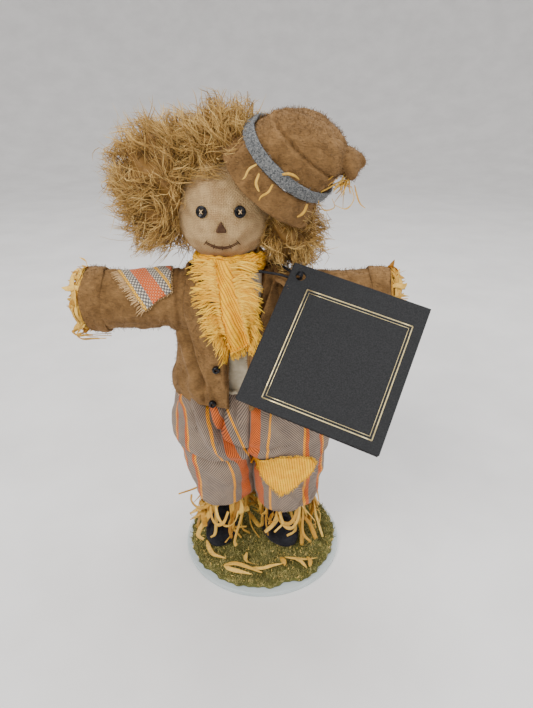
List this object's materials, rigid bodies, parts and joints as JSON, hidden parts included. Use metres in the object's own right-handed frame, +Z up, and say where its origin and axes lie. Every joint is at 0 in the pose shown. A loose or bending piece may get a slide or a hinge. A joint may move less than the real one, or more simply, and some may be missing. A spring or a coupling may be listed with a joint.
{
  "type": "scarecrow figure",
  "caption": "Small cloth scarecrow doll with outstretched arms, felt jacket and hat, baggy trousers and straw, on a turfed glass disc, with a folded card tag.",
  "frame": {"origin": "centre of the underside of the glass disc that the figure stands on", "axes": "+Z up, -Y out of the figure's front, +X to the figure's own left"},
  "size_m": [0.1115, 0.0827, 0.163],
  "materials": {
    "glass": "clear, ground edge",
    "turf": "short flocked grass",
    "black_felt": "soft felt",
    "trouser_cloth": "twill with orange and yellow stripes",
    "brown_felt": "brushed wool felt",
    "shirt_cloth": "plain cotton",
    "yellow_cotton": "coarse ribbed cotton, frayed",
    "striped_cotton": "coarse woven check and stripes, frayed",
    "calico": "plain cotton over wadding",
    "dowel": "plain",
    "hessian": "open plain weave",
    "straw": "dry raffia",
    "tow": "combed flaxen fibre",
    "bead": "polished",
    "dark_felt": "felt and thread",
    "grey_felt": "mottled felt",
    "card": "matt, uncoated",
    "elastic": "covered elastic"
  },
  "bodies": {
    "figure": {"base_disc": "glass", "turf_mat": "turf", "boot_right": "black_felt", "boot_left": "black_felt", "leg_peg_right": "dowel", "leg_peg_left": "dowel", "spine_post": "dowel", "arm_crossbar": "dowel", "leg_right": "calico", "leg_left": "calico", "torso": "calico", "arm_right": "calico", "arm_left": "calico", "straw_ankle_right": "straw", "straw_ankle_left": "straw", "ground_straw_1": "straw", "ground_straw_2": "straw", "ground_straw_3": "straw", "straw_cuff_right": "straw", "straw_cuff_left": "straw", "hat_straw_1": "straw", "hat_straw_2": "straw", "hat_tuft": "straw", "trousers": "trouser_cloth", "shirt_front": "shirt_cloth", "jacket_body": "brown_felt", "lapel_right": "brown_felt", "lapel_left": "brown_felt", "collar_back": "brown_felt", "sleeve_right": "brown_felt", "sleeve_left": "brown_felt", "cuff_right": "brown_felt", "cuff_left": "brown_felt", "hat_crown": "brown_felt", "hat_brim": "brown_felt", "button_upper": "bead", "button_lower": "bead", "eye_right": "bead", "eye_left": "bead", "knee_patch": "yellow_cotton", "neckcloth_front": "yellow_cotton", "neckcloth_wrap": "yellow_cotton", "elbow_patch": "striped_cotton", "head": "hessian", "nose": "dark_felt", "mouth_stitch": "dark_felt", "hat_band": "grey_felt", "hair_top": "tow", "hair_right": "tow", "hair_left": "tow", "hair_back": "tow", "tag_cord": "elastic", "tag_knot": "elastic"},
    "tag_back": {"tag_back_leaf": "card"},
    "tag_front": {"tag_front_leaf": "card"}
  },
  "joints": [
    {"name": "tag_swing", "type": "hinge", "parent": "figure", "child": "tag_back", "pos_m": [0.01193, -0.01436, 0.116], "axis": [0.0699, 0.7398, -0.6691], "range_deg": [-12, 35]},
    {"name": "tag_fold", "type": "hinge", "parent": "tag_back", "child": "tag_front", "pos_m": [0.00133, -0.02464, 0.10352], "axis": [-0.3837, -0.5992, -0.7027], "range_deg": [-2.5, 110]}
  ]
}
